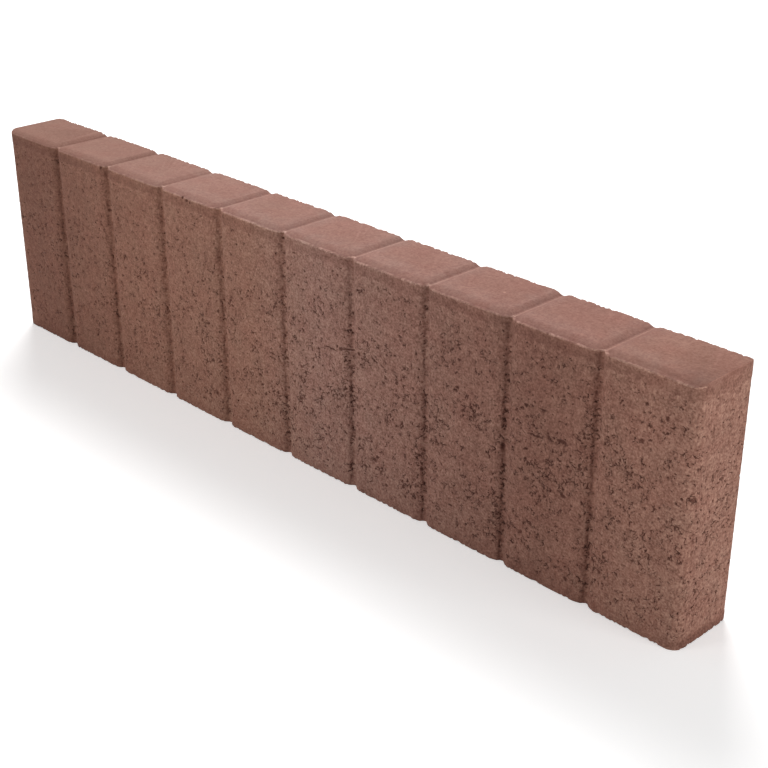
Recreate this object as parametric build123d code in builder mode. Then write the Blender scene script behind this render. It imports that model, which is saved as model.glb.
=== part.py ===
from build123d import *
from math import sqrt
import os

# Palisade edging strip: a precast garden kerb, pressed upright in one piece.
# It is shaped as a row of square-headed palisades that share one body. Upright
# grooves part the palisades on the face side, and a shallow groove parts their
# heads. The heads are bevelled along the face and beside each joint. The back
# and the ends, which meet soil and the next strip, are plain and square.
# X runs along the strip, Y through it from face to back, and Z up. The origin
# is the middle of the bed face, and all sizes are in millimetres.

# Driving dimensions: the row
palisade_count = 10
palisade_pitch = 100.0
strip_thickness = 75.0
strip_height = 250.0

# Driving dimensions: upright corners and grooves
face_corner_radius = 12.0  # where the face turns into the ends
back_corner_radius = 5.0
shoulder_radius = 18.0
groove_depth = 6.5  # to where the two shoulders meet
groove_root_radius = 1.2

# Driving dimensions: heads
head_rim = 0.9  # narrow flat left outside the bevel
head_bevel_width = 7.0
head_bevel_drop = 3.0
head_crown_radius = 9.0  # softens the bevel's upper edge
crown_corner_radius = 3.0  # of the flat top, where a shoulder meets a joint
head_seat = 6.0  # reach of the head's blank down into the body
plate_overrun = 20.0  # of the pressing plate, past the back and both ends

# Worked out from the dimensions above
strip_length = palisade_count * palisade_pitch
half_thickness = strip_thickness / 2
root_line = half_thickness - groove_depth
body_height = strip_height - head_bevel_drop
head_side = palisade_pitch / 2 - head_rim
last_place = palisade_count - 1
plate_depth = strip_thickness + plate_overrun
on_line = 0.01  # how near a corner must be to count as on a line

# A groove has no flat flanks: two round shoulders meet at its root. This is
# how far a shoulder runs along the face before it comes to the root.
shoulder_run = sqrt(groove_depth * (2 * shoulder_radius - groove_depth))

# A groove's section, with its mouth on the X axis
with BuildSketch() as groove:
    with BuildLine():
        Line((-shoulder_run, 0), (shoulder_run, 0))
        TangentArc((-shoulder_run, 0), (0, groove_depth), tangent=(1, 0))
        TangentArc((shoulder_run, 0), (0, groove_depth), tangent=(-1, 0))
    make_face()

# Plan of the strip: rounded towards the face, nearly square at the back, with
# a softened groove in the face at each joint
with BuildSketch() as plan:
    Rectangle(strip_length, strip_thickness)
    corners = plan.vertices()
    fillet([v for v in corners if v.Y < 0], radius=face_corner_radius)
    corners = plan.vertices()
    fillet([v for v in corners if v.Y > 0], radius=back_corner_radius)
    with GridLocations(palisade_pitch, 0, last_place, 1):
        with Locations((0, -half_thickness)):
            add(groove.sketch, mode=Mode.SUBTRACT)
    corners = plan.vertices()
    roots = [v for v in corners if abs(v.Y + root_line) < on_line]
    fillet(roots, radius=groove_root_radius)

# Plan of the pressing plate, which follows the grooves in the face but runs on
# past the back and the ends, so that it leaves no bevel there
with BuildSketch() as plate:
    with Locations((0, plate_overrun / 2)):
        Rectangle(strip_length + 2 * plate_overrun, plate_depth)
    with GridLocations(palisade_pitch, 0, last_place, 1):
        with Locations((0, -half_thickness)):
            add(groove.sketch, mode=Mode.SUBTRACT)

# The heads as the plate shapes them: drawn in by the rim, bevelled and softened
heads = []
for place in range(palisade_count):
    middle = (place - last_place / 2) * palisade_pitch
    start = middle - palisade_pitch / 2 - (plate_overrun if place == 0 else 0)
    stop = middle + palisade_pitch / 2 + (plate_overrun if place == last_place else 0)
    with BuildPart() as head:
        with BuildSketch(Plane.XY.offset(body_height - head_seat)) as outline:
            add(plate.sketch)
            with Locations(((start + stop) / 2, plate_overrun / 2)):
                Rectangle(stop - start, plate_depth, mode=Mode.INTERSECT)
            offset(amount=-head_rim)
            corners = outline.vertices()
            at_joint = [v for v in corners if abs(abs(v.X - middle) - head_side) < on_line]
            fillet(at_joint, radius=head_bevel_width + crown_corner_radius)
        extrude(amount=head_seat + head_bevel_drop)
        crown = head.faces().sort_by(Axis.Z)[-1]
        chamfer(
            crown.edges(),
            length=head_bevel_width,
            length2=head_bevel_drop,
            reference=crown,
        )
        crown = head.faces().sort_by(Axis.Z)[-1]
        fillet(crown.edges(), radius=head_crown_radius)
    heads.append(head.part)

# The shared body, up to the foot of the bevels, with the heads on it. What the
# plate's shape has past the strip's own plan is trimmed off.
with BuildPart() as edging_strip:
    extrude(plan.sketch, amount=body_height)
    add(heads)
    extrude(plan.sketch, amount=strip_height, mode=Mode.INTERSECT)

edging_strip.part.label = "edging_strip"
os.makedirs("parts", exist_ok=True)
export_step(edging_strip.part, "parts/edging_strip.step")
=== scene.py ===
import math
import bmesh
import bpy
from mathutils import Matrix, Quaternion, Vector


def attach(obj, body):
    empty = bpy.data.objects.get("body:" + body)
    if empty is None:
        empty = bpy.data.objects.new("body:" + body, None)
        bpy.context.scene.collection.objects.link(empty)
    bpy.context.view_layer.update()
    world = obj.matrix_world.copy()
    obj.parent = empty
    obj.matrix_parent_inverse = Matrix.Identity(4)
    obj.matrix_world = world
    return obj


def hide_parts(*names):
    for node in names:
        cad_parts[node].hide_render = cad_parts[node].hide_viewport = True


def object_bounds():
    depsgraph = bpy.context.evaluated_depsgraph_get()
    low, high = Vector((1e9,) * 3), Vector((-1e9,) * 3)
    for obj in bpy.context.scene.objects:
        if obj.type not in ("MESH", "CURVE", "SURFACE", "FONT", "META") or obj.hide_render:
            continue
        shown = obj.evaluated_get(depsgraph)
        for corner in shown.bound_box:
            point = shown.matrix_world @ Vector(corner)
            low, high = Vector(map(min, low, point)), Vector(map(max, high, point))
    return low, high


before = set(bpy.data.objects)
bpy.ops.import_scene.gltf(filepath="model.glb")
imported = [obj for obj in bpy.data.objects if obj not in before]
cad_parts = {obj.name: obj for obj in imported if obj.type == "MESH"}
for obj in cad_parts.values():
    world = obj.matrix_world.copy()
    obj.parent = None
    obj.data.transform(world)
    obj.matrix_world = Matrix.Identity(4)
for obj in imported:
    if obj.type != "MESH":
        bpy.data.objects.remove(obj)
cadLow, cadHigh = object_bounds()
mm = 0.001
photoPixels = 768


def toLinear(hexColour):
    # sRGB hex to the linear colour that sockets take
    channels = [int(hexColour[i:i + 2], 16) / 255 for i in (0, 2, 4)]
    return [c / 12.92 if c < 0.04045 else ((c + 0.055) / 1.055) ** 2.4 for c in channels] + [1]


def perSize(size):
    # a texture's scale, from the size of its grain
    return 1 / size


def addNode(tree, kind, inputs=(), output=0, **settings):
    # adds one node and gives back its output; inputs are numbers, colours or other outputs
    node = tree.nodes.new(kind)
    for name, value in settings.items():
        setattr(node, name, value)
    for name, value in inputs.items() if isinstance(inputs, dict) else enumerate(inputs):
        if isinstance(value, bpy.types.NodeSocket):
            tree.links.new(value, node.inputs[name])
        else:
            node.inputs[name].default_value = value
    return node.outputs[output]


# camera, solved from the photograph's outline and joints
camera = {
    "place": (1073.2, -935.5, 746.3),  # mm
    "forward": (-0.63738, 0.63313, -0.43919),
    "rollDegrees": -0.204,
    "focalPixels": 1493.6,
    "centrePixel": (400.0, 400.0),  # where the lens axis meets the frame
    "sensor": 36.0,
    "farthest": 50.0,  # metres
}


def makeCamera():
    lens = bpy.data.cameras.new("camera")
    lens.sensor_width = camera["sensor"]
    lens.lens = camera["focalPixels"] / photoPixels * camera["sensor"]
    lens.shift_x = (photoPixels / 2 - camera["centrePixel"][0]) / photoPixels
    lens.shift_y = (camera["centrePixel"][1] - photoPixels / 2) / photoPixels
    lens.clip_end = camera["farthest"]
    holder = bpy.data.objects.new("camera", lens)
    bpy.context.scene.collection.objects.link(holder)
    forward = Vector(camera["forward"])
    turn = forward.to_track_quat("-Z", "Y")
    roll = Quaternion(forward, math.radians(camera["rollDegrees"]))
    holder.rotation_mode = "QUATERNION"
    holder.rotation_quaternion = roll @ turn
    holder.location = Vector(camera["place"]) * mm
    bpy.context.scene.camera = holder


makeCamera()
print("camera placed")


# studio: a pale floor, a pale surround and three soft lamps, with lengths in mm
studio = {
    "floorHalf": 6000.0,
    "floorDrop": 0.05,  # so that floor and bed don't lie in one plane
    "floorColour": "fafafa",
    "floorRoughness": 0.9,
    "floorGlow": 0.45,  # seen by the camera alone
    "worldColour": "ffffff",
    "worldStrength": 0.27,
    "overhead": {"place": (-2700, 2700, 4500), "size": 2500, "watts": 255.0},
    "left": {"place": (-1500, -3300, 900), "size": 1400, "watts": 38.0},
    "right": {"place": (3200, 500, 700), "size": 1200, "watts": 32.0},
}


def makeLamp(name, settings):
    lamp = bpy.data.lights.new(name, "AREA")
    lamp.size = settings["size"] * mm
    lamp.energy = settings["watts"]
    holder = bpy.data.objects.new(name, lamp)
    bpy.context.scene.collection.objects.link(holder)
    holder.location = Vector(settings["place"]) * mm
    aim = (cadLow + cadHigh) / 2 - holder.location
    holder.rotation_mode = "QUATERNION"
    holder.rotation_quaternion = aim.to_track_quat("-Z", "Y")


def seenDirectly(tree):
    # 1 for the rays that show a surface to the camera, also in a reflection or through glass
    kinds = ("Is Camera Ray", "Is Glossy Ray", "Is Transmission Ray")
    seen, glossy, clear = [addNode(tree, "ShaderNodeLightPath", output=kind) for kind in kinds]
    either = addNode(tree, "ShaderNodeMath", [seen, glossy], operation="MAXIMUM")
    return addNode(tree, "ShaderNodeMath", [either, clear], operation="MAXIMUM")


def makeWorld():
    world = bpy.data.worlds.new("paleSurround")
    world.use_nodes = True
    bpy.context.scene.world = world
    tree = world.node_tree
    tree.nodes.clear()
    colour = toLinear(studio["worldColour"])
    light = addNode(tree, "ShaderNodeBackground", [colour, studio["worldStrength"]])
    seen = addNode(tree, "ShaderNodeBackground", [colour, 1.0])
    surround = addNode(tree, "ShaderNodeMixShader", [seenDirectly(tree), light, seen])
    end = tree.nodes.new("ShaderNodeOutputWorld")
    tree.links.new(surround, end.inputs["Surface"])


def makeFloor():
    mesh = bpy.data.meshes.new("floor")
    bm = bmesh.new()
    bmesh.ops.create_grid(bm, x_segments=1, y_segments=1, size=studio["floorHalf"] * mm)
    bmesh.ops.translate(bm, vec=(0, 0, -studio["floorDrop"] * mm), verts=bm.verts)
    bm.to_mesh(mesh)
    bm.free()
    floor = bpy.data.objects.new("floor", mesh)
    bpy.context.scene.collection.objects.link(floor)
    paint = bpy.data.materials.new("paleFloor")
    paint.use_nodes = True
    tree = paint.node_tree
    shader = tree.nodes["Principled BSDF"]
    shader.inputs["Base Color"].default_value = toLinear(studio["floorColour"])
    shader.inputs["Roughness"].default_value = studio["floorRoughness"]
    shader.inputs["Specular IOR Level"].default_value = 0.0
    shader.inputs["Emission Color"].default_value = toLinear(studio["worldColour"])
    glow = addNode(tree, "ShaderNodeMath", [seenDirectly(tree), studio["floorGlow"]], operation="MULTIPLY")
    tree.links.new(glow, shader.inputs["Emission Strength"])
    mesh.materials.append(paint)


bpy.context.scene.view_settings.view_transform = "Standard"
makeWorld()
for name in ("overhead", "left", "right"):
    makeLamp(name, studio[name])
makeFloor()
print("studio lit")


# The strip: one cast piece, taken from the CAD node and given the relief of its pressing.
# A range of four numbers has its start and stop, then what it gives at either.
palisades = 10
pitch = (cadHigh.x - cadLow.x) / palisades
rimHeight = cadHigh.z - 3 * mm  # foot of the heads' bevels
strip = {
    "grid": 1.0 * mm,  # between the points of the fine mesh
    "weld": 0.001 * mm,
    "triangles": 190000,
    "sharpFrom": 60.0,  # degrees between faces, so that a flat side stays flat up to its edge

    # where the strip changes
    "sides": (3.0 * mm, 0.5 * mm),  # in from the ends and the back: where they start, and are in full
    "faceReach": 8.5 * mm,  # how far the grooves and bevels reach in from the face
    "headSkin": (rimHeight - 0.9 * mm, rimHeight - 0.2 * mm),  # the heads' closer skin starts, is in full
    "sideSkin": (rimHeight - 5.5 * mm, rimHeight + 3.5 * mm),  # the same at the ends and the back
    "bandFoot": 235.0 * mm,  # the press head rubs the faces smooth above this
    "bandWander": 9.0 * mm,  # how far that line rises and falls, and the length of its bends
    "bandEdge": 0.8 * mm,
    "baseTop": (8.0 * mm, 11.0 * mm),  # the pallet holds the faces smooth below this

    # relief of the open faces
    "recess": 0.12 * mm,  # how far they lie behind the band and the base
    "clump": 8.0 * mm,  # aggregate with its coat of mortar
    "clumpEdge": (0.0, 0.22, 1.0, 0.0),
    "clumpRelief": 0.15 * mm,
    "wave": 14.0 * mm,
    "waveRelief": 0.25 * mm,
    "voidDepth": 1.1 * mm,
    "upright": (0.8, 0.95, -1.0, 0.0),  # by a face's tilt: inwards in full, and none on a level face

    # the crooked seam of thin mortar beside the root of each groove, sunk into the relief and darkened with
    # painted shade
    "seamPlace": -2.4 * mm,  # on the flank to the left of each joint
    "seamWander": 4.0 * mm,
    "seamBend": 11.0 * mm,
    "seamKnot": 8.0 * mm,
    "seamWidth": (0.35, 0.7, 1.0 * mm, 2.8 * mm),
    "seamWall": (0.1, 1.4, 1.0, 0.0),
    "seamTop": (239.0 * mm, 246.5 * mm, 1.0, 0.4),
    "seamDepth": 0.8 * mm,

    # edges
    "lipStart": (rimHeight - 1.5 * mm, rimHeight - 0.8 * mm, 0.0, 1.0),
    "lipStop": (rimHeight + 0.1 * mm, rimHeight + 0.6 * mm, 1.0, 0.0),
    "lipRise": 0.45 * mm,
    "crumb": 3.6 * mm,  # what stands up from the lip, or is missing from another edge
    "crumbs": (0.45, 0.65, 0.0, 1.0),
    "topEdge": (cadHigh.z - 2.5 * mm, cadHigh.z - 0.3 * mm, 0.0, 1.0),
    "rollReach": (cadHigh.x - 1.6 * mm, cadHigh.x - 0.3 * mm, 0.0, 1.0),
    "endRoll": 1.0 * mm,  # the soft upper edge of the ends
    "backBreak": 1.5 * mm,
    "faceEdge": (cadLow.y + 0.5 * mm, cadLow.y + 2.0 * mm, 1.0, 0.0),
    "bedEdge": (0.3 * mm, 2.5 * mm, 1.0, 0.0),
    "bedBreak": 1.7 * mm,
}

# where the pits crowd together, and where they thin out
crowding = {
    "clusterSize": 30.0 * mm,
    "clusters": (0.36, 0.64, 0.38, 1.12),
    "fromBed": (8 * mm, 40 * mm, 0.6, 1.0),
    "toHeads": (130 * mm, 232 * mm, 1.0, 0.45),
    "toNearEnd": (-450 * mm, 150 * mm, 0.62, 1.0),
    "onEnds": (0.0, 1.0, 1.0, 0.85),
    "onHeads": 0.4,
    "besideSeam": (1.5 * mm, 4.0 * mm, 0.3, 0.0),
    "seamToNearEnd": (100 * mm, 300 * mm, 0.5, 1.0),
}

# a warp of the place gives every mark a ragged edge: grain and reach
warps = {"fine": (2.6 * mm, 2.6 * mm), "wide": (5.0 * mm, 6.0 * mm)}

# pits: the cell that may hold one, the chance that it holds none, and the widest as a share of the cell
pits = {"fine": (4.2 * mm, 0.36, 0.35), "wide": (9.0 * mm, 0.5, 0.28)}
pitWall = (0.35, 1.25, 1.0, 0.0)

# cracks: the clump they run round, the stretch that may open, from what noise on, and the widest
cracks = {"fine": (4.2 * mm, 5.0 * mm, 0.65, 0.12), "wide": (strip["clump"], 7.0 * mm, 0.67, 0.07)}
crackWall = (0.3, 1.2, 1.0, 0.0)
crackOnset = 0.16  # noise from where a crack starts to where it is widest
crackCrowd = 0.12  # how much more noise counts where the pits crowd
leastWidth = 0.001  # keeps a width above nothing

# the larger marks in the face: place along and up, then half width and half height, in mm
marks = {
    "cracks": ((95, 151, 8.0, 1.0), (87, 150, 3.0, 1.6), (72, 146, 9.0, 0.9), (337, 147, 10.0, 1.0)),
    "pits": ((54, 140, 1.8, 1.5), (83, 226, 1.6, 1.3), (146, 133, 2.2, 1.6), (112, 153, 1.8, 2.4),
             (117, 149, 2.2, 1.4), (150, 23, 1.8, 1.5), (-31, 60, 1.6, 1.5), (-44, 94, 1.5, 1.6),
             (-15, 106, 1.6, 1.3), (243, 162, 1.9, 1.8), (244, 190, 1.9, 1.4), (-302, 196, 2.0, 1.6)),
    "clusters": ((366, 152, 6.0, 2.0), (371, 100, 3.0, 2.0), (378, 19, 2.6, 1.8), (448, 184, 2.6, 2.2),
                 (471, 212, 2.0, 2.4), (450, 218, 1.8, 1.6), (343, 175, 4.5, 1.0), (297, 120, 2.0, 4.0)),
    "chips": ((-157, 246.4, 1.8, 1.1), (-150, 245.0, 2.2, 1.1), (-145, 243.6, 1.2, 0.9),
              (0, 240.6, 1.6, 1.4), (-308, 245.0, 1.6, 1.2)),
}
markWall = (0.5, 1.2, 1.0, 0.0)
farOff = 9.0  # from every mark, in half widths


def castPlace(tree, place):
    # where a point of the plain casting lies, and how far it is from joints and edges
    parts = addNode(tree, "ShaderNodeSeparateXYZ", [place]).node.outputs
    along, through, height = parts[0], parts[1], parts[2]
    offMiddle = addNode(tree, "ShaderNodeMath", [along], operation="ABSOLUTE")

    # signed distance to the nearest joint, positive to its right
    turns = addNode(tree, "ShaderNodeMath", [along, pitch], operation="DIVIDE")
    turns = addNode(tree, "ShaderNodeMath", [turns, 0.5], operation="ADD")
    turns = addNode(tree, "ShaderNodeMath", [turns], operation="FRACT")
    turns = addNode(tree, "ShaderNodeMath", [turns, 0.5], operation="SUBTRACT")
    pastJoint = addNode(tree, "ShaderNodeMath", [turns, pitch], operation="MULTIPLY")
    notEnd = addNode(tree, "ShaderNodeMath", [offMiddle, cadHigh.x - pitch / 2], operation="LESS_THAN")
    onFace = addNode(tree, "ShaderNodeMath", [through, cadLow.y + strip["faceReach"]],
                     operation="LESS_THAN")

    # the heads' skin sets in sharply at the rim, and softly at the ends and the back, which have none
    start, full = strip["sides"]
    atEnd = addNode(tree, "ShaderNodeMapRange", [offMiddle, cadHigh.x - start, cadHigh.x - full])
    atBack = addNode(tree, "ShaderNodeMapRange", [through, cadHigh.y - start, cadHigh.y - full])
    plainSide = addNode(tree, "ShaderNodeMath", [atEnd, atBack], operation="MAXIMUM")
    skin = [addNode(tree, "ShaderNodeMapRange", [plainSide, 0.0, 1.0, atRim, atSide])
            for atRim, atSide in zip(strip["headSkin"], strip["sideSkin"])]
    isHead = addNode(tree, "ShaderNodeMapRange", [height, *skin])

    # the open part of the faces, between the smooth band and the smooth base
    wander = strip["bandWander"]
    ragged = addNode(tree, "ShaderNodeTexNoise", {"Vector": place, "Scale": perSize(wander), "Detail": 3})
    foot = addNode(tree, "ShaderNodeMath", [ragged, wander, strip["bandFoot"] - wander / 2],
                   operation="MULTIPLY_ADD")
    underBand = addNode(tree, "ShaderNodeMath", [foot, height], operation="SUBTRACT")
    below = addNode(tree, "ShaderNodeMapRange", [underBand, -strip["bandEdge"], strip["bandEdge"]],
                    interpolation_type="SMOOTHSTEP")
    above = addNode(tree, "ShaderNodeMapRange", [height, *strip["baseTop"]], interpolation_type="SMOOTHSTEP")
    openFace = addNode(tree, "ShaderNodeMath", [below, above], operation="MULTIPLY")
    return {"along": along, "through": through, "height": height, "offMiddle": offMiddle,
            "pastJoint": pastJoint, "notEnd": notEnd, "onFace": onFace, "atEnd": atEnd,
            "atBack": atBack, "isHead": isHead, "underBand": underBand, "openFace": openFace}


def crowdPits(tree, place, found):
    # the pits crowd together in places, and thin out upwards, near the base and to the left
    cluster = addNode(tree, "ShaderNodeTexNoise", {
        "Vector": place, "Scale": perSize(crowding["clusterSize"]), "Detail": 2})
    cluster = addNode(tree, "ShaderNodeMapRange", [cluster, *crowding["clusters"]],
                      interpolation_type="SMOOTHSTEP")
    low = addNode(tree, "ShaderNodeMapRange", [found["height"], *crowding["fromBed"]],
                  interpolation_type="SMOOTHSTEP")
    high = addNode(tree, "ShaderNodeMapRange", [found["height"], *crowding["toHeads"]],
                   interpolation_type="SMOOTHSTEP")
    nearer = addNode(tree, "ShaderNodeMapRange", [found["along"], *crowding["toNearEnd"]])
    fewer = addNode(tree, "ShaderNodeMapRange", [found["atEnd"], *crowding["onEnds"]])
    onHead = addNode(tree, "ShaderNodeMath", [found["isHead"], crowding["onHeads"]], operation="MULTIPLY")
    found["pitted"] = addNode(tree, "ShaderNodeMath", [found["openFace"], onHead], operation="MAXIMUM")
    crowd = low
    for share in (high, cluster, nearer, fewer, found["pitted"]):
        crowd = addNode(tree, "ShaderNodeMath", [crowd, share], operation="MULTIPLY")

    # they gather beside the seams too, mostly towards the near end
    offSeam = addNode(tree, "ShaderNodeMath", [found["pastJoint"], strip["seamPlace"]],
                      operation="SUBTRACT")
    offSeam = addNode(tree, "ShaderNodeMath", [offSeam], operation="ABSOLUTE")
    knotty = addNode(tree, "ShaderNodeMapRange", [offSeam, *crowding["besideSeam"]])
    closer = addNode(tree, "ShaderNodeMapRange", [found["along"], *crowding["seamToNearEnd"]])
    for share in (found["notEnd"], found["openFace"], closer):
        knotty = addNode(tree, "ShaderNodeMath", [knotty, share], operation="MULTIPLY")
    found["crowd"] = addNode(tree, "ShaderNodeMath", [crowd, knotty], operation="ADD")


def warpPlace(tree, place):
    warped = {}
    for name, (grain, reach) in warps.items():
        bend = addNode(tree, "ShaderNodeTexNoise", {"Vector": place, "Scale": perSize(grain), "Detail": 2},
                       output="Color")
        bend = addNode(tree, "ShaderNodeVectorMath", [bend, (0.5, 0.5, 0.5)], operation="SUBTRACT")
        bend = addNode(tree, "ShaderNodeVectorMath", {0: bend, "Scale": reach}, operation="SCALE")
        warped[name] = addNode(tree, "ShaderNodeVectorMath", [place, bend], operation="ADD")
    return warped


def pressPits(tree, warped, found):
    # each cell may hold one pit, and chance says how wide it is, down to none
    pitted = 0.0
    for name, (cell, chance, widest) in pits.items():
        cells = addNode(tree, "ShaderNodeTexVoronoi", {"Vector": warped[name], "Scale": perSize(cell)}).node
        luck = addNode(tree, "ShaderNodeSeparateXYZ", [cells.outputs["Color"]])
        luck = addNode(tree, "ShaderNodeMapRange", [luck, chance, 1.0, 0.0, widest])
        width = addNode(tree, "ShaderNodeMath", [luck, found["crowd"], leastWidth],
                        operation="MULTIPLY_ADD")
        inside = addNode(tree, "ShaderNodeMath", [cells.outputs["Distance"], width], operation="DIVIDE")
        pit = addNode(tree, "ShaderNodeMapRange", [inside, *pitWall], interpolation_type="SMOOTHSTEP")
        pitted = addNode(tree, "ShaderNodeMath", [pit, pitted], operation="MAXIMUM")
    return addNode(tree, "ShaderNodeMath", [pitted, found["pitted"]], operation="MULTIPLY")


def openCracks(tree, place, warped, found):
    # short crooked gaps that run part of the way round a clump, small or large
    cracked = 0.0
    for name, (clump, stretch, start, widest) in cracks.items():
        gap = addNode(tree, "ShaderNodeTexVoronoi", {"Vector": warped[name], "Scale": perSize(clump)},
                      feature="DISTANCE_TO_EDGE")
        where = addNode(tree, "ShaderNodeTexNoise", {
            "Vector": place, "Scale": perSize(stretch), "Detail": 2})
        where = addNode(tree, "ShaderNodeMath", [found["crowd"], crackCrowd, where],
                        operation="MULTIPLY_ADD")
        width = addNode(tree, "ShaderNodeMapRange", [where, start, start + crackOnset, leastWidth, widest])
        inside = addNode(tree, "ShaderNodeMath", [gap, width], operation="DIVIDE")
        crack = addNode(tree, "ShaderNodeMapRange", [inside, *crackWall], interpolation_type="SMOOTHSTEP")
        cracked = addNode(tree, "ShaderNodeMath", [crack, cracked], operation="MAXIMUM")
    clumpEdge = addNode(tree, "ShaderNodeMapRange", [gap, *strip["clumpEdge"]],
                        interpolation_type="SMOOTHSTEP")
    found["clumpEdge"] = addNode(tree, "ShaderNodeMath", [clumpEdge, found["openFace"]],
                                 operation="MULTIPLY")
    return addNode(tree, "ShaderNodeMath", [cracked, found["openFace"]], operation="MULTIPLY")


def setMarks(tree, warped, found):
    # the larger marks, each an oval with the ragged edge of the warp
    nearest = farOff
    for x, z, wide, tall in [mark for kind in marks.values() for mark in kind]:
        off = addNode(tree, "ShaderNodeVectorMath", [warped["fine"], (x * mm, 0.0, z * mm)],
                      operation="SUBTRACT")
        shrink = (perSize(wide * mm), 0.0, perSize(tall * mm))
        off = addNode(tree, "ShaderNodeVectorMath", [off, shrink], operation="MULTIPLY")
        off = addNode(tree, "ShaderNodeVectorMath", [off], output="Value", operation="LENGTH")
        nearest = addNode(tree, "ShaderNodeMath", [off, nearest], operation="MINIMUM")
    marked = addNode(tree, "ShaderNodeMapRange", [nearest, *markWall], interpolation_type="SMOOTHSTEP")
    return addNode(tree, "ShaderNodeMath", [marked, found["onFace"]], operation="MULTIPLY")


def runSeam(tree, place, found):
    # thin mortar left a crooked, knotty sunken line beside the root of each groove; its dark colour is
    # painted shade
    wander = addNode(tree, "ShaderNodeTexNoise", {
        "Vector": place, "Scale": perSize(strip["seamBend"]), "Detail": 3})
    middle = -strip["seamWander"] / 2 - strip["seamPlace"]
    wander = addNode(tree, "ShaderNodeMath", [wander, strip["seamWander"], middle],
                     operation="MULTIPLY_ADD")
    offSeam = addNode(tree, "ShaderNodeMath", [found["pastJoint"], wander], operation="ADD")
    offSeam = addNode(tree, "ShaderNodeMath", [offSeam], operation="ABSOLUTE")
    width = addNode(tree, "ShaderNodeTexNoise", {
        "Vector": place, "Scale": perSize(strip["seamKnot"]), "Detail": 3})
    width = addNode(tree, "ShaderNodeMapRange", [width, *strip["seamWidth"]])
    inside = addNode(tree, "ShaderNodeMath", [offSeam, width], operation="DIVIDE")
    seam = addNode(tree, "ShaderNodeMapRange", [inside, *strip["seamWall"]],
                   interpolation_type="SMOOTHSTEP")
    fade = addNode(tree, "ShaderNodeMapRange", [found["height"], *strip["seamTop"]],
                   interpolation_type="SMOOTHSTEP")
    for share in (found["onFace"], found["notEnd"], fade):
        seam = addNode(tree, "ShaderNodeMath", [seam, share], operation="MULTIPLY")
    found["seam"] = seam


def squeezeLip(tree, found):
    # the press squeezes a lip out along the rim of the heads, towards the face
    start = addNode(tree, "ShaderNodeMapRange", [found["height"], *strip["lipStart"]])
    stop = addNode(tree, "ShaderNodeMapRange", [found["height"], *strip["lipStop"]])
    lip = addNode(tree, "ShaderNodeMath", [start, stop], operation="MULTIPLY")
    found["lip"] = addNode(tree, "ShaderNodeMath", [lip, found["onFace"]], operation="MULTIPLY")


def pressedPattern(tree, place):
    # What the pressing left at a point of the plain casting. The relief and the colour
    # both ask this, so they agree. Each mark goes from 0 to 1.
    found = castPlace(tree, place)
    crowdPits(tree, place, found)
    warped = warpPlace(tree, place)
    void = pressPits(tree, warped, found)
    for hollow in (openCracks(tree, place, warped, found), setMarks(tree, warped, found)):
        void = addNode(tree, "ShaderNodeMath", [void, hollow], operation="MAXIMUM")
    found["void"] = void
    runSeam(tree, place, found)
    squeezeLip(tree, found)
    return found


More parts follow.
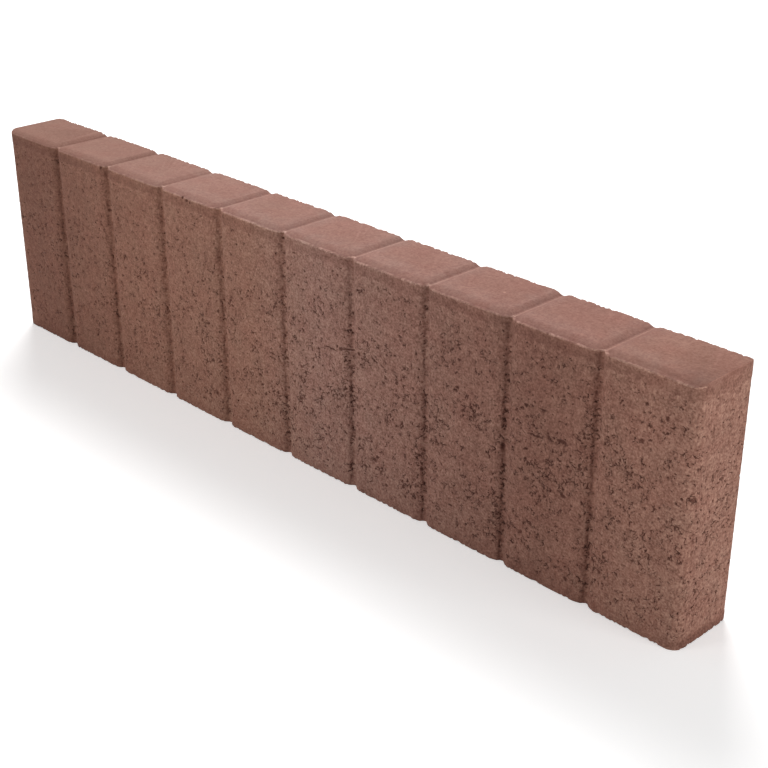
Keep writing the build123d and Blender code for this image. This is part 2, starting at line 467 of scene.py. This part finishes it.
def reliefNodes():
    tree = bpy.data.node_groups.new("pressedRelief", "GeometryNodeTree")
    tree.interface.new_socket("Mesh", in_out="INPUT", socket_type="NodeSocketGeometry")
    tree.interface.new_socket("Mesh", in_out="OUTPUT", socket_type="NodeSocketGeometry")
    start = addNode(tree, "NodeGroupInput")
    place = addNode(tree, "GeometryNodeInputPosition")
    normal = addNode(tree, "GeometryNodeInputNormal")
    found = pressedPattern(tree, place)
    kept = addNode(tree, "GeometryNodeStoreNamedAttribute",
                   {"Geometry": start, "Name": "castPlace", "Value": place},
                   data_type="FLOAT_VECTOR", domain="POINT")

    # what sinks below the plain casting, added up
    wave = addNode(tree, "ShaderNodeTexNoise", {
        "Vector": place, "Scale": perSize(strip["wave"]), "Detail": 2})
    wave = addNode(tree, "ShaderNodeMath", [wave, found["openFace"]], operation="MULTIPLY")
    topEdge = addNode(tree, "ShaderNodeMapRange", [found["height"], *strip["topEdge"]],
                      interpolation_type="SMOOTHSTEP")
    outermost = addNode(tree, "ShaderNodeMapRange", [found["offMiddle"], *strip["rollReach"]])
    roll = addNode(tree, "ShaderNodeMath", [topEdge, outermost], operation="MULTIPLY")
    sink = 0.0
    for amount, depth in ((found["openFace"], "recess"), (found["clumpEdge"], "clumpRelief"),
                          (roll, "endRoll"), (wave, "waveRelief"),
                          (found["void"], "voidDepth"), (found["seam"], "seamDepth")):
        sink = addNode(tree, "ShaderNodeMath", [amount, strip[depth], sink], operation="MULTIPLY_ADD")
    tilt = addNode(tree, "ShaderNodeSeparateXYZ", [normal], output=2)
    tilt = addNode(tree, "ShaderNodeMath", [tilt], operation="ABSOLUTE")
    upright = addNode(tree, "ShaderNodeMapRange", [tilt, *strip["upright"]])
    sink = addNode(tree, "ShaderNodeMath", [sink, upright], operation="MULTIPLY")
    move = addNode(tree, "ShaderNodeVectorMath", {0: normal, "Scale": sink}, operation="SCALE")

    # crumbs stand up from the lip and are missing from the back edge and from the edge of the bed
    crumbs = addNode(tree, "ShaderNodeTexNoise", {
        "Vector": place, "Scale": perSize(strip["crumb"]), "Detail": 3})
    crumbs = addNode(tree, "ShaderNodeMapRange", [crumbs, *strip["crumbs"]],
                     interpolation_type="SMOOTHSTEP")
    backTop = addNode(tree, "ShaderNodeMath", [found["atBack"], topEdge], operation="MULTIPLY")
    around = addNode(tree, "ShaderNodeMapRange", [found["through"], *strip["faceEdge"]])
    for side in (found["atEnd"], found["atBack"]):
        around = addNode(tree, "ShaderNodeMath", [around, side], operation="MAXIMUM")
    onBed = addNode(tree, "ShaderNodeMapRange", [found["height"], *strip["bedEdge"]])
    bedEdge = addNode(tree, "ShaderNodeMath", [around, onBed], operation="MULTIPLY")
    lift = addNode(tree, "ShaderNodeMath", [found["lip"], strip["lipRise"]], operation="MULTIPLY")
    lift = addNode(tree, "ShaderNodeMath", [backTop, -strip["backBreak"], lift], operation="MULTIPLY_ADD")
    lift = addNode(tree, "ShaderNodeMath", [bedEdge, strip["bedBreak"], lift], operation="MULTIPLY_ADD")
    lift = addNode(tree, "ShaderNodeMath", [lift, crumbs], operation="MULTIPLY")
    lift = addNode(tree, "ShaderNodeCombineXYZ", [0.0, 0.0, lift])
    move = addNode(tree, "ShaderNodeVectorMath", [move, lift], operation="ADD")
    moved = addNode(tree, "GeometryNodeSetPosition", {"Geometry": kept, "Offset": move})
    end = tree.nodes.new("NodeGroupOutput")
    tree.links.new(moved, end.inputs[0])
    return tree


def finishedMesh(holder):
    # the mesh with its modifiers taken up into it
    depsgraph = bpy.context.evaluated_depsgraph_get()
    return bpy.data.meshes.new_from_object(holder.evaluated_get(depsgraph), depsgraph=depsgraph)


def makeStrip():
    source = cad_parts["edging_strip"]
    bm = bmesh.new()
    bm.from_mesh(source.data)
    bmesh.ops.remove_doubles(bm, verts=bm.verts, dist=strip["weld"])
    mesh = bpy.data.meshes.new("pressed_strip")
    bm.to_mesh(mesh)
    bm.free()
    piece = bpy.data.objects.new("pressed_strip", mesh)
    bpy.context.scene.collection.objects.link(piece)

    # an even grid of points, moved by the relief
    remesh = piece.modifiers.new("evenGrid", "REMESH")
    remesh.mode = "VOXEL"
    remesh.voxel_size = strip["grid"]
    relief = piece.modifiers.new("relief", "NODES")
    relief.node_group = reliefNodes()
    mesh = finishedMesh(piece)
    piece.modifiers.clear()
    piece.data = mesh
    print("fine mesh", len(mesh.vertices), "points")

    # fewer faces where it is flat, and nothing past the CAD's own box
    fewer = piece.modifiers.new("fewer", "DECIMATE")
    fewer.ratio = strip["triangles"] / (2 * len(mesh.polygons))
    mesh = finishedMesh(piece)
    piece.modifiers.clear()
    piece.data = mesh
    for vertex in mesh.vertices:
        for axis in range(3):
            vertex.co[axis] = min(max(vertex.co[axis], cadLow[axis]), cadHigh[axis])
    mesh.shade_smooth()
    mesh.set_sharp_from_angle(angle=math.radians(strip["sharpFrom"]))
    print("finished mesh", len(mesh.polygons), "faces")
    return piece


# pressed dry-cast concrete, coloured through: matt, open-grained, no gloss
concrete = {
    # the tone drifts a little along the strip: each stop is a place from left to right and its tone
    "faceTones": ((0.05, "775042"), (0.25, "906554"), (0.45, "976d5c"), (0.55, "9a7366"),
                  (0.85, "875e50"), (0.95, "996e5e")),
    "headTones": ((0.05, "966d5f"), (0.35, "a5796c"), (0.60, "a6796c"), (0.85, "a17265"),
                  (0.95, "a27465")),
    "roughness": 0.92,
    "specular": 0.3,

    # a pale bloom lies along the heads' edges, beside each joint and towards the face
    "bloom": (1.0, 1.07, 1.11),  # how much paler and greyer it leaves each channel
    "bloomBeside": (7 * mm, 27 * mm, 1.0, 0.0),
    "bloomFront": (cadLow.y + 12 * mm, cadLow.y + 38 * mm, 1.0, 0.0),
    "bloomPatch": 13 * mm,
    "bloomPatches": (0.35, 0.65, 0.4, 1.0),
    "bloomToNearEnd": (-400 * mm, 0.0, 0.0, 1.0),

    # light and dark grains: size, detail, roughness, then the noise from which they start and their strength
    "grains": ((2.2 * mm, 2, 0.6, 0.25, 0.42), (6 * mm, 3, 0.5, 0.25, 0.22), (34 * mm, 2, 0.5, 0.3, 0.06)),
    "grainOnHeads": (0.0, 1.0, 1.0, 0.42),
    "grainToNearEnd": (-450 * mm, 150 * mm, 0.72, 1.0),
    "darkestGrain": 0.3,
    "streak": (2.6 * mm, 0.12),  # width of the press head's upright streaks, and that over their length
    "crumb": 3.5 * mm,

    # what is darker is redder too: green and blue fall faster than red
    "greenPower": 1.27,
    "bluePower": 1.32,
    "hueSize": 26 * mm,
    "hues": (0.3, 0.7, 0.965, 1.035),

    # the finest relief, which is bump: grit, and the clods between the pits
    "grit": 1.6 * mm,
    "clod": 4.5 * mm,
    "clodHeight": -0.9,
    "voidHeight": -1.5,
    "bumpHeight": 0.5 * mm,
}

# masks for single zones: each goes by one measure of the place, as a soft curve or evenly
masks = {
    "SMOOTHSTEP": {
        "band": ("underBand", -1.2 * mm, 0.6 * mm, 1.0, 0.0),
        "jointHighlight": ("offJointHighlight", 1.0 * mm, 2.6 * mm, 1.0, 0.0),
        "bedLine": ("height", 5 * mm, 14 * mm, 1.0, 0.0),
    },
    "LINEAR": {
        "voidShadeToNearEnd": ("along", -450 * mm, 0.0, 0.65, 1.0),
        "bandTop": ("height", 241 * mm, 246 * mm, 1.0, 0.0),
        "bandOnEnds": ("atEnd", 0.0, 1.0, 1.0, 0.4),
        "footHighlightStart": ("underBand", 0.3 * mm, 1.2 * mm, 0.0, 1.0),
        "footHighlightStop": ("underBand", 2.0 * mm, 5.0 * mm, 1.0, 0.0),
        "streaks": ("streaky", 0.35, 0.65, 0.0, 1.0),
        "jointHighlightToNearEnd": ("along", -400 * mm, 350 * mm, 1.0, 0.65),
        "slopeStart": ("pastJoint", 2 * mm, 3.5 * mm, 0.0, 1.0),
        "slopeStop": ("pastJoint", 7 * mm, 10 * mm, 1.0, 0.0),
        "slopeToNearEnd": ("along", -400 * mm, 350 * mm, 0.0, 1.0),
        "underCrown": ("height", cadHigh.z - 0.7 * mm, cadHigh.z - 0.15 * mm, 1.0, 0.0),
        "lowBevel": ("height", rimHeight + 0.4 * mm, rimHeight + 1.6 * mm, 1.0, 0.0),
        "crumbs": ("crumbly", 0.4, 0.6, 0.25, 1.0),
        "lipHighlightToNearEnd": ("along", -450 * mm, 0.0, 0.4, 1.0),
        "bedOnEnds": ("atEnd", 0.0, 1.0, 1.0, 3.0),
        "lowFacePaintedLight": ("height", 20 * mm, 170 * mm, 1.0, 0.0),
        "endCornerPaintedLight": ("offMiddle", cadHigh.x - 24 * mm, cadHigh.x - 9 * mm, 0.0, 1.0),
        "frontStart": ("through", cadLow.y + 9 * mm, cadLow.y + 13 * mm, 0.0, 1.0),
        "frontStop": ("through", cadLow.y + 20 * mm, cadLow.y + 34 * mm, 1.0, 0.0),
        "highFace": ("height", 120 * mm, 225 * mm, 0.0, 1.0),
        "farJoints": ("along", 200 * mm, 300 * mm, 1.0, 0.0),
        "stone": ("offStone", 0.8 * mm, 1.8 * mm, 1.0, 0.0),
    },
}
jointHighlightPlace = 0.3 * mm  # painted highlight along the bottom of each gutter on the heads, just past the joint, where its far side faces the light
leftSlope = (0.0, 1.0 * mm, 1.0, 0.0)  # the side of a gutter that ends at its joint
stonePlace = (262.9 * mm, 0.4 * mm, cadHigh.z)  # one light stone in a crown

# how light each zone is as a share of the plain face, and the masks that bound it together; several zones
# are painted light or shade
zones = {
    # painted shade: the pits, cracks and larger marks are darkened, less so towards the left end
    "void": (0.41, "void", "voidShadeToNearEnd"),
    # painted shade along the seams beside the groove roots
    "seam": (0.88, "seam"),
    # painted shade in the gaps between the clumps
    "clumpEdge": (0.95, "clumpEdge"),
    "band": (0.87, "band", "bandTop", "bandOnEnds"),
    # painted highlight on the ledge just below the band's foot
    "foot": (1.05, "footHighlightStart", "footHighlightStop"),
    "streaks": (0.93, "streaks", "band", "bandTop", "bandOnEnds"),
    # painted highlight just past each head joint
    "jointHighlight": (1.28, "jointHighlight", "isHead", "notEnd", "jointHighlightToNearEnd"),
    "slope": (0.91, "slopeStart", "slopeStop", "isHead", "notEnd", "slopeToNearEnd"),
    # painted shade on the front bevels and on the bevels left of each joint, which face away from the light,
    # darker still at their foot
    "bevelPaintedShade": (0.95, "underCrown", "isHead", "facingLeft"),
    "bevelFootPaintedShade": (0.87, "lowBevel", "underCrown", "isHead", "facingLeft"),
    # painted highlight along the squeezed lip at the heads' rim, broken by crumbs
    "lip": (1.8, "lip", "crumbs", "lipHighlightToNearEnd"),
    "bedLine": (0.88, "bedLine", "bedOnEnds"),
    # painted light that lifts the lower part of the faces out of the shade near the floor
    "lowFacePaintedLight": (1.07, "lowFacePaintedLight"),
    # painted light on the front face where it rounds into each end
    "endCornerPaintedLight": (1.09, "endCornerPaintedLight", "openFace", "onFace"),
    "headFront": (1.05, "frontStart", "frontStop", "isHead"),
    "openFace": (1.03, "openFace"),
    "endTop": (1.08, "highFace", "atEnd", "openFace"),
    # takes the painted seam shade back out at the joints left of 200 mm
    "farSeamShadeEased": (1.14, "seam", "farJoints"),
    "stone": (1.45, "stone"),
}


def toneAlong(tree, found, name):
    share = addNode(tree, "ShaderNodeMapRange", [found["along"], cadLow.x, cadHigh.x])
    ramp = addNode(tree, "ShaderNodeValToRGB", [share]).node
    stops = ramp.color_ramp.elements
    stops.remove(stops[1])
    for turn, (position, tone) in enumerate(concrete[name]):
        stop = stops.new(position) if turn else stops[0]
        stop.position, stop.color = position, toLinear(tone)
    return ramp.outputs[0]


def bloomedHeads(tree, place, found):
    # the heads' tone, paler where the bloom lies
    offJoint = addNode(tree, "ShaderNodeMath", [found["pastJoint"]], operation="ABSOLUTE")
    beside = addNode(tree, "ShaderNodeMapRange", [offJoint, *concrete["bloomBeside"]],
                     interpolation_type="SMOOTHSTEP")
    beside = addNode(tree, "ShaderNodeMath", [beside, found["notEnd"]], operation="MULTIPLY")
    front = addNode(tree, "ShaderNodeMapRange", [found["through"], *concrete["bloomFront"]],
                    interpolation_type="SMOOTHSTEP")
    bloom = addNode(tree, "ShaderNodeMath", [beside, front], operation="MAXIMUM")
    patches = addNode(tree, "ShaderNodeTexNoise", {
        "Vector": place, "Scale": perSize(concrete["bloomPatch"]), "Detail": 3})
    patches = addNode(tree, "ShaderNodeMapRange", [patches, *concrete["bloomPatches"]])
    nearer = addNode(tree, "ShaderNodeMapRange", [found["along"], *concrete["bloomToNearEnd"]])
    for share in (patches, nearer):
        bloom = addNode(tree, "ShaderNodeMath", [bloom, share], operation="MULTIPLY")
    paler = addNode(tree, "ShaderNodeMix", {0: bloom, 4: (1.0, 1.0, 1.0), 5: concrete["bloom"]}, output=1,
                    data_type="VECTOR")
    return addNode(tree, "ShaderNodeVectorMath", [toneAlong(tree, found, "headTones"), paler],
                   operation="MULTIPLY")


def grainLevel(tree, place, found):
    # light and dark grains, calmer on the heads and to the left
    calm = addNode(tree, "ShaderNodeMapRange", [found["isHead"], *concrete["grainOnHeads"]])
    nearer = addNode(tree, "ShaderNodeMapRange", [found["along"], *concrete["grainToNearEnd"]])
    found["calm"] = addNode(tree, "ShaderNodeMath", [calm, nearer], operation="MULTIPLY")
    grain = 0.0
    for size, detail, roughness, start, strength in concrete["grains"]:
        specks = addNode(tree, "ShaderNodeTexNoise", {
            "Vector": place, "Scale": perSize(size), "Detail": detail, "Roughness": roughness})
        specks = addNode(tree, "ShaderNodeMapRange", [specks, start, 1 - start, -strength, strength])
        grain = addNode(tree, "ShaderNodeMath", [grain, specks], operation="ADD")
    level = addNode(tree, "ShaderNodeMath", [grain, found["calm"], 1.0], operation="MULTIPLY_ADD")
    return addNode(tree, "ShaderNodeMath", [level, concrete["darkestGrain"]], operation="MAXIMUM")


def zoneLevel(tree, place, found, level):
    # single zones are lighter or darker than the plain face, some of them as painted light and shade
    width, overLength = concrete["streak"]
    stretched = addNode(tree, "ShaderNodeVectorMath", [place, (1.0, 1.0, overLength)],
                        operation="MULTIPLY")
    found["streaky"] = addNode(tree, "ShaderNodeTexNoise", {
        "Vector": stretched, "Scale": perSize(width), "Detail": 2})
    found["crumbly"] = addNode(tree, "ShaderNodeTexNoise", {
        "Vector": place, "Scale": perSize(concrete["crumb"]), "Detail": 2})
    offJointHighlight = addNode(tree, "ShaderNodeMath", [found["pastJoint"], jointHighlightPlace], operation="SUBTRACT")
    found["offJointHighlight"] = addNode(tree, "ShaderNodeMath", [offJointHighlight], operation="ABSOLUTE")
    offStone = addNode(tree, "ShaderNodeVectorMath", [place, stonePlace], operation="SUBTRACT")
    found["offStone"] = addNode(tree, "ShaderNodeVectorMath", [offStone], output="Value",
                                operation="LENGTH")
    # the front bevels and the bevels left of each joint, which take painted shade
    slope = addNode(tree, "ShaderNodeMapRange", [found["pastJoint"], *leftSlope])
    found["facingLeft"] = addNode(tree, "ShaderNodeMath", [slope, found["onFace"]], operation="MAXIMUM")
    for curve, single in masks.items():
        for name, (measure, *limits) in single.items():
            found[name] = addNode(tree, "ShaderNodeMapRange", [found[measure], *limits],
                                  interpolation_type=curve)
    for share, *parts in zones.values():
        bounded = 1.0
        for part in parts:
            bounded = addNode(tree, "ShaderNodeMath", [bounded, found[part]], operation="MULTIPLY")
        zone = addNode(tree, "ShaderNodeMapRange", [bounded, 0.0, 1.0, 1.0, share], clamp=False)
        level = addNode(tree, "ShaderNodeMath", [level, zone], operation="MULTIPLY")
    return level


def concreteMaterial():
    material = bpy.data.materials.new("pressedDryCastConcrete")
    material.use_nodes = True
    tree = material.node_tree
    shader = tree.nodes["Principled BSDF"]
    shader.inputs["Roughness"].default_value = concrete["roughness"]
    shader.inputs["Specular IOR Level"].default_value = concrete["specular"]
    place = addNode(tree, "ShaderNodeAttribute", output="Vector", attribute_name="castPlace")
    found = pressedPattern(tree, place)
    faces = toneAlong(tree, found, "faceTones")
    heads = bloomedHeads(tree, place, found)
    tone = addNode(tree, "ShaderNodeMix", {0: found["isHead"], 6: faces, 7: heads}, output=2,
                   data_type="RGBA")
    level = zoneLevel(tree, place, found, grainLevel(tree, place, found))

    # the level darkens each channel by its own power, and the hue drifts a little
    green = addNode(tree, "ShaderNodeMath", [level, concrete["greenPower"]], operation="POWER")
    blue = addNode(tree, "ShaderNodeMath", [level, concrete["bluePower"]], operation="POWER")
    level = addNode(tree, "ShaderNodeCombineXYZ", [level, green, blue])
    base = addNode(tree, "ShaderNodeVectorMath", [tone, level], operation="MULTIPLY")
    hue = addNode(tree, "ShaderNodeTexNoise", {
        "Vector": place, "Scale": perSize(concrete["hueSize"]), "Detail": 2})
    hue = addNode(tree, "ShaderNodeMapRange", [hue, *concrete["hues"]])
    hue = addNode(tree, "ShaderNodeCombineXYZ", [1.0, hue, hue])
    base = addNode(tree, "ShaderNodeVectorMath", [base, hue], operation="MULTIPLY")
    tree.links.new(base, shader.inputs["Base Color"])

    grit = addNode(tree, "ShaderNodeTexNoise", {
        "Vector": place, "Scale": perSize(concrete["grit"]), "Detail": 3, "Roughness": 0.6})
    clods = addNode(tree, "ShaderNodeTexVoronoi", {
        "Vector": place, "Scale": perSize(concrete["clod"]), "Smoothness": 0.6}, feature="SMOOTH_F1")
    rough = addNode(tree, "ShaderNodeMath", [clods, concrete["clodHeight"], grit],
                    operation="MULTIPLY_ADD")
    rough = addNode(tree, "ShaderNodeMath", [rough, found["calm"]], operation="MULTIPLY")
    rough = addNode(tree, "ShaderNodeMath", [found["void"], concrete["voidHeight"], rough],
                    operation="MULTIPLY_ADD")
    bump = addNode(tree, "ShaderNodeBump", {
        "Strength": 1.0, "Distance": concrete["bumpHeight"], "Height": rough})
    tree.links.new(bump, shader.inputs["Normal"])
    return material


edgingStrip = makeStrip()
edgingStrip.data.materials.clear()
edgingStrip.data.materials.append(concreteMaterial())
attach(edgingStrip, "root")
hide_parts("edging_strip")
print("strip made")
